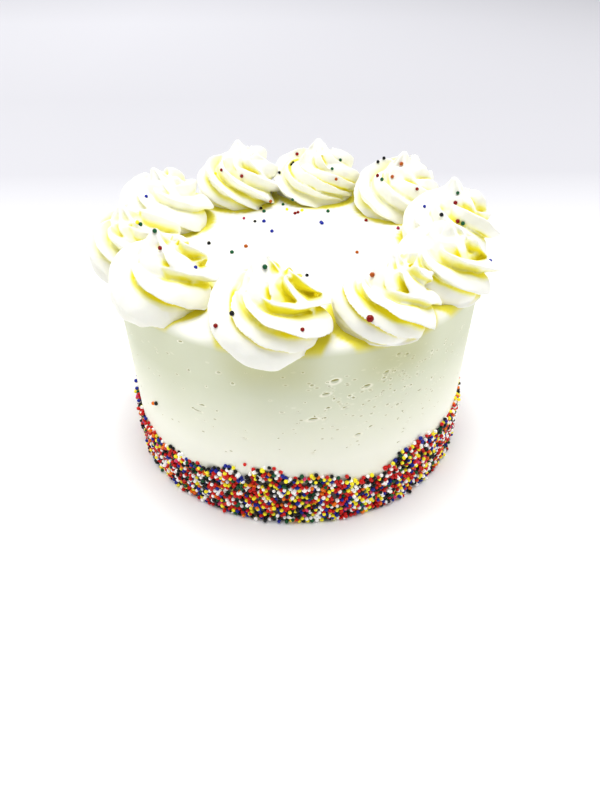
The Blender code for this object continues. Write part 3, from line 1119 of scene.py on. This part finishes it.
def seen_pearls(settings):
    """Single pearls where the photo's pixels meet the finished frosting, then more round the back."""
    draw = random.Random(RANDOM_SEED + 1)
    names = ["cake_frosting"] + [swirl_name(index) for index in range(len(ROSETTE_NODES))]
    scene_now = bpy.context.evaluated_depsgraph_get()
    trees = [BVHTree.FromObject(bpy.data.objects[name], scene_now) for name in names]
    by_kind = {name: [] for name, _, _ in SPRINKLE_KINDS}
    for name, pixels in LOOSE_SPRINKLES.items():
        for across, down in pixels:
            size = LARGE_SPRINKLES.get((across, down), 1.0)
            add_hit(by_kind[name], trees, CAMERA_PLACE, photo_ray(across, down), settings, draw, size)
    for _ in range(BACK_SPRINKLES):
        angle = draw.uniform(0.1, math.pi - 0.1)
        reach = draw.uniform(0.055, 0.082)
        above = Vector((reach * math.cos(angle), reach * math.sin(angle), 0.2))
        toward = Vector((draw.uniform(-0.2, 0.2), -draw.uniform(0.0, 0.5), -1.0)).normalized()
        add_hit(by_kind[pick_kind(draw)], trees, above, toward, settings, draw, hidden=True)
    return by_kind


def behind(place, trees):
    """Whether something stands between the camera and a place."""
    way = place - CAMERA_PLACE
    reach = way.length - 0.002
    return any(tree.ray_cast(CAMERA_PLACE, way.normalized(), reach)[0] is not None for tree in trees)


def add_hit(pearls, trees, start, ray, settings, draw, size=1.0, hidden=False):
    """Set a pearl on the first surface that the ray meets."""
    best = None
    for tree in trees:
        place, normal, _, distance = tree.ray_cast(start, ray)
        if place is not None and (best is None or distance < best[2]):
            best = (place, normal, distance)
    if best is None or (hidden and not behind(best[0], trees)):
        return
    radius = 0.5 * settings.pearl * draw.uniform(0.8, 1.0) * size
    pearls.append((tuple(best[0] + best[1] * radius * PEARL_RISE), radius))


# Settings


def colour_setting(name, description, default):
    """Linear colour."""
    return bpy.props.FloatVectorProperty(
        name=name, description=description, default=default, subtype="COLOR", size=3
    )


def length_setting(name, description, default):
    """Length in metres."""
    return bpy.props.FloatProperty(name=name, description=description, default=default, unit="LENGTH")


def share_setting(name, description, default):
    """Share from 0 to 1."""
    return bpy.props.FloatProperty(
        name=name, description=description, default=default, subtype="FACTOR", min=0.0, max=1.0
    )


def number_setting(name, description, default):
    """Plain number, not below 0."""
    return bpy.props.FloatProperty(name=name, description=description, default=default, min=0.0)


def count_setting(name, description, default, least):
    """Whole number, with the least that makes sense."""
    return bpy.props.IntProperty(name=name, description=description, default=default, min=least)


class CakeFrostingSettings(bpy.types.PropertyGroup):
    """Sizes and colours of the smoothed frosting."""

    columns: count_setting("Columns", "Faces round the wall", 768, 48)
    wall_rows: count_setting("Wall rows", "Cuts up the wall", 102, 4)
    top_rings: count_setting("Top rings", "Rings near the brim of the top", 16, 1)
    back_pits: count_setting("Back pits", "Pits on the unseen side", 46, 0)
    tiny_pits: share_setting("Tiny pits", "Share of places with a pinprick pit", 0.025)
    fine_pits: count_setting("Fine pits", "Tiny pits all round", 110, 0)
    pit_depth: length_setting("Pit depth", "Depth of the widest air-bubble pit", 0.0006)
    # Sugar stain together with painted shade between the sprinkles
    belt_stain_and_shade: share_setting("Belt stain", "How strongly sugar colours stain the frosting", 0.9)
    wall_colour: colour_setting("Cream", "Frosting colour", (0.74, 0.765, 0.575))
    wall_shade: colour_setting("Cream shade", "Colour of faint patches", (0.71, 0.735, 0.535))
    # Painted light low on the wall and on the top
    foot_light_colour: colour_setting("Foot", "Cream low on the wall", (1.0, 0.995, 0.85))
    top_light_colour: colour_setting("Top", "Cream of the top", (0.93, 0.93, 0.88))
    # Painted shade below the rosettes and under their edges
    shade_colour: colour_setting("Below", "Wall below a rosette", (0.50, 0.49, 0.17))
    contact_shade_colour: colour_setting("Shadowed", "Cream under a rosette's edge", (0.86, 0.78, 0.06))
    # Painted shade deep in a pit and a painted highlight on its lower lip
    pit_shade_colour: colour_setting("Pit", "Colour deep in a pit", (0.33, 0.31, 0.07))
    lip_highlight_colour: colour_setting("Lip", "Colour of a pit's lower lip", (1.0, 0.99, 0.82))


class CakeRosetteSettings(bpy.types.PropertyGroup):
    """Sizes and colours of the piped rosettes."""

    grain: length_setting("Grain", "Finest detail of a rosette", 0.00042)
    smoothing: count_setting("Smoothing", "Rounds of smoothing", 2, 0)
    crevice_reach: length_setting("Crevice reach", "How far apart two ridges still shade each other", 0.009)
    crevice_rays: count_setting("Crevice rays", "Rays that test each point", 12, 4)
    # Painted glow deep between the ridges
    crevice_painted_glow: number_setting("Crevice glow", "Light that seeps through thin ridges into a crevice", 0.06)
    crest_colour: colour_setting("Crest", "Cream in the open", (0.97, 0.965, 0.88))
    # Painted shade between the ridges, pale and deep
    hollow_shade_colour: colour_setting("Hollow", "Cream between ridges", (0.95, 0.93, 0.36))
    crevice_shade_colour: colour_setting("Crevice", "Cream deep between ridges", (0.86, 0.765, 0.022))


class CakeSprinkleSettings(bpy.types.PropertyGroup):
    """Sizes of the round sprinkles."""

    pearl: length_setting("Pearl", "Width of one pearl", 0.00186)
    belt_pitch: number_setting("Belt pitch", "Spacing in pearl widths", 0.99)
    belt_heaped: share_setting("Heaped", "Share of pearls that lie on others", 0.18)
    belt_gaps: share_setting("Belt gaps", "Share of the belt left bare", 0.06)


class CakeStageSettings(bpy.types.PropertyGroup):
    """Floor and lights."""

    floor_colour: colour_setting("Floor", "Colour of the sweep", (0.93, 0.93, 0.935))
    # Painted shade of the floor behind the cake, toward its end and at the right
    far_shade_colour: colour_setting("Far floor", "Colour behind the cake", (0.61, 0.605, 0.635))
    end_shade_colour: colour_setting("End", "Colour of the sweep at its far end", (0.72, 0.715, 0.75))
    right_shade_colour: colour_setting("Right", "Colour far behind at the right", (0.565, 0.56, 0.59))
    floor_size: length_setting("Floor size", "Width of the floor", 9.0)
    top_power: number_setting("Top light", "Power in watts", 100.0)
    side_power: number_setting("Side lights", "Power in watts", 2.3)
    sky_strength: number_setting("Sky", "Strength of the even light", 0.5)
    front_share: share_setting("Front share", "Even light left where the camera stands", 0.63)


# Operators


class CAKE_OT_frost_cake(bpy.types.Operator):
    """Make the smoothed frosting of the cake's wall and top"""

    bl_idname = "cake.frost_cake"
    bl_label = "Frost the Cake"

    def execute(self, context):
        settings = context.scene.cake_frosting
        piece = turned_cake(settings)
        shape_frosting(piece, settings)
        piece.data.materials.clear()
        piece.data.materials.append(wall_material(settings))
        finish_piece(piece, "buttercream_wall", "cake_body")
        return {"FINISHED"}


class CAKE_OT_pipe_rosettes(bpy.types.Operator):
    """Pipe the ring of star-nozzle swirls"""

    bl_idname = "cake.pipe_rosettes"
    bl_label = "Pipe the Rosettes"

    def execute(self, context):
        settings = context.scene.cake_rosettes
        material = rosette_material(settings)
        for index in range(len(ROSETTE_NODES)):
            pipe_rosette(index, settings, material)
        return {"FINISHED"}


class CAKE_OT_scatter_sprinkles(bpy.types.Operator):
    """Press the belt of pearls round the foot and drop single pearls on the top"""

    bl_idname = "cake.scatter_sprinkles"
    bl_label = "Scatter the Sprinkles"

    def execute(self, context):
        settings = context.scene.cake_sprinkles
        belt = belt_pearls(settings)
        loose = seen_pearls(settings)
        for number, (name, _, colour) in enumerate(SPRINKLE_KINDS):
            draw = random.Random(RANDOM_SEED + 10 + number)
            material = sprinkle_material(name, colour)
            build_pearls(f"sprinkles_{name}", belt[name] + loose[name], material, f"sprinkle_{name}", draw)
        return {"FINISHED"}


class CAKE_OT_set_stage(bpy.types.Operator):
    """Lay the pale floor and set the lights and the camera"""

    bl_idname = "cake.set_stage"
    bl_label = "Set the Stage"

    def execute(self, context):
        settings = context.scene.cake_stage
        lay_floor(settings)
        light_stage(settings)
        place_camera()
        return {"FINISHED"}


def lay_floor(settings):
    """Pale sweep under and behind the cake."""
    deselect_all()
    bpy.ops.mesh.primitive_plane_add(size=settings.floor_size, location=(0, 0, -0.0002))
    floor = bpy.context.object
    floor.name = "floor"
    floor.data.materials.append(sweep_material(settings))


def add_light(name, place, power, size):
    """Soft square light aimed at the cake."""
    deselect_all()
    bpy.ops.object.light_add(type="AREA", location=place)
    light = bpy.context.object
    light.name = name
    light.data.energy = power
    light.data.size = size
    way = Vector(LIGHT_AIM) - Vector(place)
    light.rotation_euler = way.to_track_quat("-Z", "Y").to_euler()


def light_stage(settings):
    """Soft lights, and an even room light that the camera sees as a pale backdrop."""
    add_light("top_softbox", TOP_LIGHT_PLACE, settings.top_power, TOP_LIGHT_SIZE)
    for side, name in ((-1, "left_softbox"), (1, "right_softbox")):
        add_light(name, (side * SIDE_LIGHT_AWAY, 0.1, 0.5), settings.side_power, SIDE_LIGHT_SIZE)
    world = bpy.data.worlds.new("room_light")
    world.use_nodes = True
    tree = world.node_tree
    sky = tree.nodes["Background"]
    sky.inputs["Color"].default_value = SKY_COLOUR
    full = settings.sky_strength
    to_back = axes_of(tree, "Generated")["Y"]
    link(ramp(to_back, -1.0, -0.2, full * settings.front_share, full), sky.inputs["Strength"])
    seen = add_node(tree, "ShaderNodeBackground", Color=BACKDROP_COLOUR)
    look = add_node(tree, "ShaderNodeLightPath")
    mix = add_node(tree, "ShaderNodeMixShader")
    link(look.outputs["Is Camera Ray"], mix.inputs["Fac"])
    link(sky.outputs["Background"], mix.inputs[1])
    link(seen.outputs["Background"], mix.inputs[2])
    link(mix.outputs["Shader"], tree.nodes["World Output"].inputs["Surface"])
    bpy.context.scene.world = world
    bpy.context.scene.view_settings.view_transform = "Standard"


def place_camera():
    """Camera at the photo's viewing angle."""
    deselect_all()
    bpy.ops.object.camera_add(location=CAMERA_PLACE, rotation=CAMERA_TURN)
    camera = bpy.context.object
    camera.data.sensor_fit = "VERTICAL"
    camera.data.sensor_height = SENSOR_MM
    camera.data.sensor_width = SENSOR_MM
    camera.data.lens = PHOTO_FOCAL / PHOTO_SIZE[1] * SENSOR_MM
    camera.data.clip_start = 0.01
    bpy.context.scene.camera = camera


class CAKE_PT_panel(bpy.types.Panel):
    """The cake's settings and operators"""

    bl_idname = "CAKE_PT_panel"
    bl_label = "Piped Rosette Cake"
    bl_space_type = "VIEW_3D"
    bl_region_type = "UI"
    bl_category = "Cake"

    def draw(self, context):
        scene = context.scene
        groups = (
            (scene.cake_frosting, CAKE_OT_frost_cake),
            (scene.cake_rosettes, CAKE_OT_pipe_rosettes),
            (scene.cake_sprinkles, CAKE_OT_scatter_sprinkles),
            (scene.cake_stage, CAKE_OT_set_stage),
        )
        for settings, operator in groups:
            box = self.layout.box()
            for name in settings.__annotations__:
                box.prop(settings, name)
            box.operator(operator.bl_idname)


SETTING_GROUPS = {
    "cake_frosting": CakeFrostingSettings,
    "cake_rosettes": CakeRosetteSettings,
    "cake_sprinkles": CakeSprinkleSettings,
    "cake_stage": CakeStageSettings,
}
CLASSES = (
    *SETTING_GROUPS.values(),
    CAKE_OT_frost_cake,
    CAKE_OT_pipe_rosettes,
    CAKE_OT_scatter_sprinkles,
    CAKE_OT_set_stage,
    CAKE_PT_panel,
)


def register():
    """Add the classes and a settings group for each on the scene."""
    for item in CLASSES:
        bpy.utils.register_class(item)
    for name, group in SETTING_GROUPS.items():
        setattr(bpy.types.Scene, name, bpy.props.PointerProperty(type=group))


def unregister():
    """Take the settings groups and the classes away."""
    for name in SETTING_GROUPS:
        delattr(bpy.types.Scene, name)
    for item in reversed(CLASSES):
        bpy.utils.unregister_class(item)


def main():
    """Make the cake and its stage."""
    register()
    bpy.ops.cake.frost_cake()
    bpy.ops.cake.pipe_rosettes()
    bpy.ops.cake.scatter_sprinkles()
    bpy.ops.cake.set_stage()


if __name__ == "__main__":
    main()
